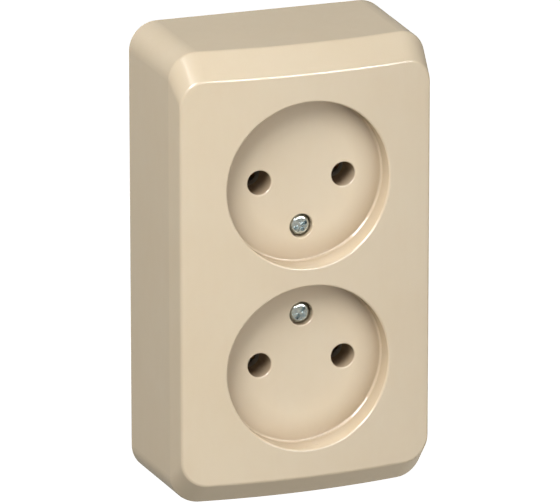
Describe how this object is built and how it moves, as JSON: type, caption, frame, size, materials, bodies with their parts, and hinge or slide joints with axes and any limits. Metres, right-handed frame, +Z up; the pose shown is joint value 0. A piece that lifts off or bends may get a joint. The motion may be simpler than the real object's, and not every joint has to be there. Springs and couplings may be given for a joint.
{
  "type": "duplex wall outlet",
  "caption": "Surface mounted duplex wall outlet with round recessed unearthed sockets, a screwed cream cover and working contacts and terminals inside.",
  "frame": {"origin": "middle of the wall face", "axes": "+Z up the wall along the long side, +Y into the wall, the front faces -Y"},
  "size_m": [0.0586, 0.032, 0.101],
  "materials": {
    "cover_plastic": "glossy",
    "base_plastic": "satin",
    "block_plastic": "matte",
    "spring_bronze": "satin",
    "contact_brass": "satin",
    "zinc_plated_steel": "bright zinc plated"
  },
  "bodies": {
    "base": {"base_plate": "base_plastic", "contact_block": "block_plastic", "block_screws": "zinc_plated_steel", "contact_rivets": "contact_brass", "upper_square_nut": "zinc_plated_steel", "lower_square_nut": "zinc_plated_steel", "line_busbar": "contact_brass", "neutral_busbar": "contact_brass", "upper_left_contact": "contact_brass", "upper_right_contact": "contact_brass", "lower_left_contact": "contact_brass", "lower_right_contact": "contact_brass"},
    "cover": {"cover": "cover_plastic"},
    "upper_screw_carrier": {"upper_captive_washer": "zinc_plated_steel"},
    "upper_screw": {"upper_cover_screw": "zinc_plated_steel"},
    "upper_left_leaf": {"upper_left_spring_leaf": "spring_bronze"},
    "upper_left_clamp": {"upper_left_terminal_clamp": "zinc_plated_steel"},
    "upper_left_clamp_screw": {"upper_left_terminal_screw": "zinc_plated_steel"},
    "upper_right_leaf": {"upper_right_spring_leaf": "spring_bronze"},
    "upper_right_clamp": {"upper_right_terminal_clamp": "zinc_plated_steel"},
    "upper_right_clamp_screw": {"upper_right_terminal_screw": "zinc_plated_steel"},
    "lower_screw_carrier": {"lower_captive_washer": "zinc_plated_steel"},
    "lower_screw": {"lower_cover_screw": "zinc_plated_steel"},
    "lower_left_leaf": {"lower_left_spring_leaf": "spring_bronze"},
    "lower_left_clamp": {"lower_left_terminal_clamp": "zinc_plated_steel"},
    "lower_left_clamp_screw": {"lower_left_terminal_screw": "zinc_plated_steel"},
    "lower_right_leaf": {"lower_right_spring_leaf": "spring_bronze"},
    "lower_right_clamp": {"lower_right_terminal_clamp": "zinc_plated_steel"},
    "lower_right_clamp_screw": {"lower_right_terminal_screw": "zinc_plated_steel"}
  },
  "joints": [
    {"name": "cover_lift", "type": "slide", "parent": "base", "child": "cover", "axis": [0, -1, 0], "range_m": [0, 0.03]},
    {"name": "upper_screw_travel", "type": "slide", "parent": "cover", "child": "upper_screw_carrier", "axis": [0, -1, 0], "range_m": [0, 0.005]},
    {"name": "upper_screw_turn", "type": "hinge", "parent": "upper_screw_carrier", "child": "upper_screw", "pos_m": [0, -0.024, 0.0098], "axis": [0, -1, 0], "range_deg": [0, 3001]},
    {"name": "upper_left_leaf_flex", "type": "hinge", "parent": "base", "child": "upper_left_leaf", "pos_m": [-0.01275, -0.006, 0.0203], "axis": [0, 0, -1], "range_deg": [0, 6], "stiffness_Nm_per_rad": 0.2},
    {"name": "upper_left_clamp_travel", "type": "slide", "parent": "base", "child": "upper_left_clamp", "axis": [0, -1, 0], "range_m": [0, 0.002]},
    {"name": "upper_left_clamp_screw_turn", "type": "hinge", "parent": "upper_left_clamp", "child": "upper_left_clamp_screw", "pos_m": [-0.0169, -0.00695, 0.005], "axis": [0, -1, 0], "range_deg": [0, 1201]},
    {"name": "upper_right_leaf_flex", "type": "hinge", "parent": "base", "child": "upper_right_leaf", "pos_m": [0.01275, -0.006, 0.0203], "axis": [0, 0, 1], "range_deg": [0, 6], "stiffness_Nm_per_rad": 0.2},
    {"name": "upper_right_clamp_travel", "type": "slide", "parent": "base", "child": "upper_right_clamp", "axis": [0, -1, 0], "range_m": [0, 0.002]},
    {"name": "upper_right_clamp_screw_turn", "type": "hinge", "parent": "upper_right_clamp", "child": "upper_right_clamp_screw", "pos_m": [0.0169, -0.00695, 0.005], "axis": [0, -1, 0], "range_deg": [0, 1201]},
    {"name": "lower_screw_travel", "type": "slide", "parent": "cover", "child": "lower_screw_carrier", "axis": [0, -1, 0], "range_m": [0, 0.005]},
    {"name": "lower_screw_turn", "type": "hinge", "parent": "lower_screw_carrier", "child": "lower_screw", "pos_m": [0, -0.024, -0.0098], "axis": [0, -1, 0], "range_deg": [0, 3001]},
    {"name": "lower_left_leaf_flex", "type": "hinge", "parent": "base", "child": "lower_left_leaf", "pos_m": [-0.01275, -0.006, -0.0203], "axis": [0, 0, -1], "range_deg": [0, 6], "stiffness_Nm_per_rad": 0.2},
    {"name": "lower_left_clamp_travel", "type": "slide", "parent": "base", "child": "lower_left_clamp", "axis": [0, -1, 0], "range_m": [0, 0.002]},
    {"name": "lower_left_clamp_screw_turn", "type": "hinge", "parent": "lower_left_clamp", "child": "lower_left_clamp_screw", "pos_m": [-0.0169, -0.00695, -0.005], "axis": [0, -1, 0], "range_deg": [0, 1201]},
    {"name": "lower_right_leaf_flex", "type": "hinge", "parent": "base", "child": "lower_right_leaf", "pos_m": [0.01275, -0.006, -0.0203], "axis": [0, 0, 1], "range_deg": [0, 6], "stiffness_Nm_per_rad": 0.2},
    {"name": "lower_right_clamp_travel", "type": "slide", "parent": "base", "child": "lower_right_clamp", "axis": [0, -1, 0], "range_m": [0, 0.002]},
    {"name": "lower_right_clamp_screw_turn", "type": "hinge", "parent": "lower_right_clamp", "child": "lower_right_clamp_screw", "pos_m": [0.0169, -0.00695, -0.005], "axis": [0, -1, 0], "range_deg": [0, 1201]}
  ],
  "couplings": [
    {"joint": "upper_screw_turn", "follows": "upper_screw_travel", "rad_per_m": 10472},
    {"joint": "upper_left_clamp_screw_turn", "follows": "upper_left_clamp_travel", "rad_per_m": 10472},
    {"joint": "upper_right_clamp_screw_turn", "follows": "upper_right_clamp_travel", "rad_per_m": 10472},
    {"joint": "lower_screw_turn", "follows": "lower_screw_travel", "rad_per_m": 10472},
    {"joint": "lower_left_clamp_screw_turn", "follows": "lower_left_clamp_travel", "rad_per_m": 10472},
    {"joint": "lower_right_clamp_screw_turn", "follows": "lower_right_clamp_travel", "rad_per_m": 10472}
  ]
}
